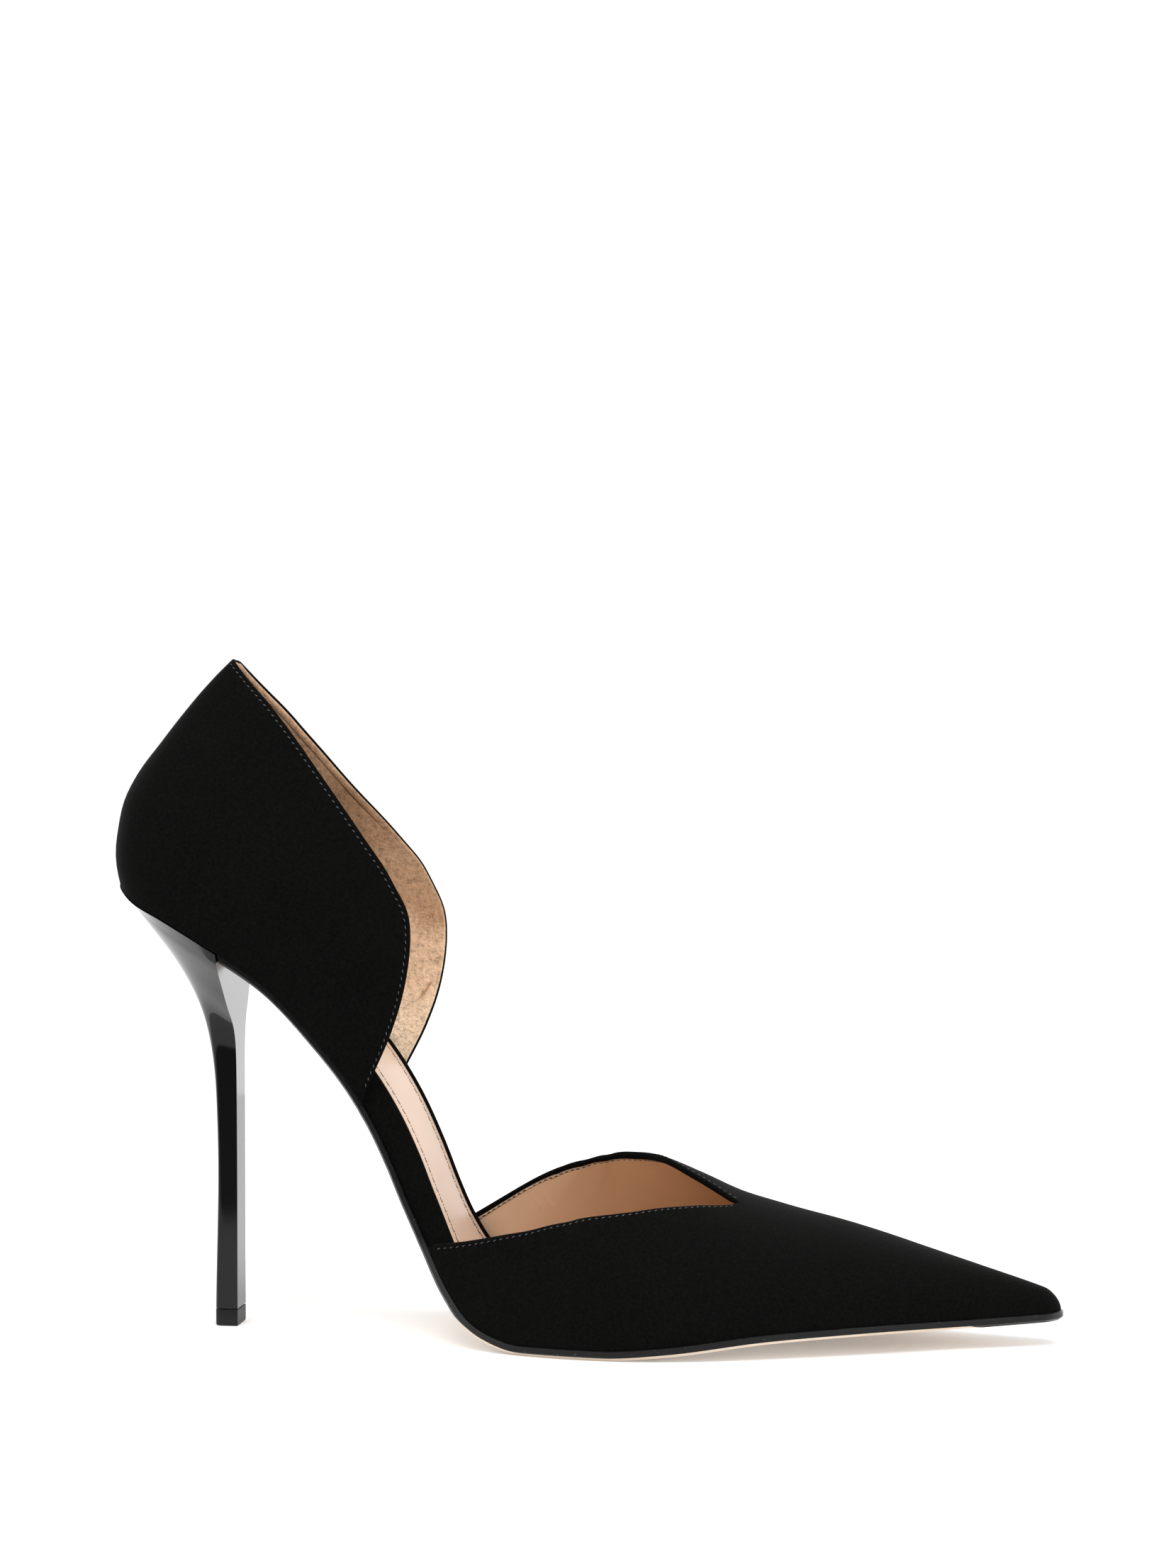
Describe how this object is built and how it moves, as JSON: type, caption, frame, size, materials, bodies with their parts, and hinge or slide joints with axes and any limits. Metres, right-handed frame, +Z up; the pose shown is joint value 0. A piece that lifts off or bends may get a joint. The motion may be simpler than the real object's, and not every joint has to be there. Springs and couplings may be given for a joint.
{
  "type": "dorsay pump",
  "caption": "Pointed two-piece pump with a high square stiletto heel, open at both sides of the waist, with a V throat over the toes.",
  "frame": {"origin": "on the floor, at the middle of the heel tip's underside", "axes": "+X toward the toe, +Z up, -Y toward the outer side of the foot"},
  "size_m": [0.229, 0.0747, 0.1623],
  "materials": {
    "suede": "black suede, napped",
    "sock": "nude, satin",
    "sole": "smooth, with a black painted edge",
    "lacquer": "black, glossy",
    "tip": "black, smooth"
  },
  "bodies": {
    "root": {"upper_vamp": "suede", "upper_quarter": "suede", "insole_board": "suede", "sock_lining": "sock", "outsole": "sole", "heel": "lacquer", "top_piece": "tip"}
  },
  "joints": []
}
